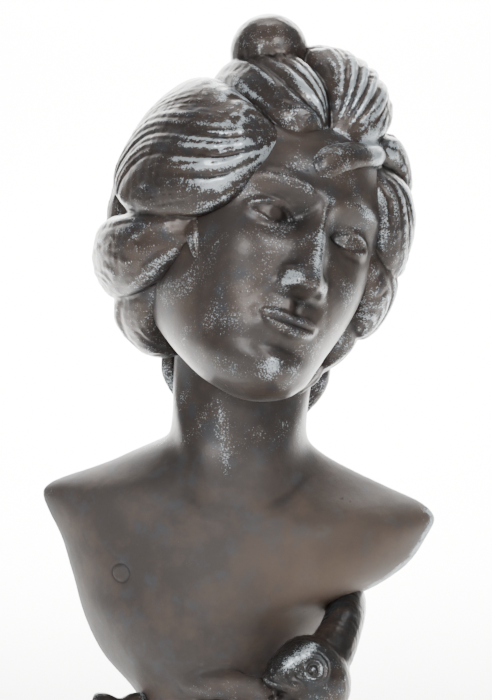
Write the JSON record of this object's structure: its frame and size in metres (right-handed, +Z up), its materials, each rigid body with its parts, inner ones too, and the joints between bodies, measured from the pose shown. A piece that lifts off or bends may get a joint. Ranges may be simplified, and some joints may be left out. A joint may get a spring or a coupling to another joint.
{
  "type": "bust",
  "caption": "Spelter bust of a woman with swept-up hair and cut shoulders, a dolphin at her chest, cast in one with a low oval plinth",
  "frame": {"origin": "middle of the plinth's flat underside, where the bust rests", "axes": "+Z up through the head, -Y towards the front of the chest, +X to the viewer's right"},
  "size_m": [0.2086, 0.1866, 0.4501],
  "materials": {
    "spelter": "dark brown lacquer, rubbed through to silver grey metal on the ridges"
  },
  "bodies": {
    "root": {"bust": "spelter"}
  },
  "joints": []
}
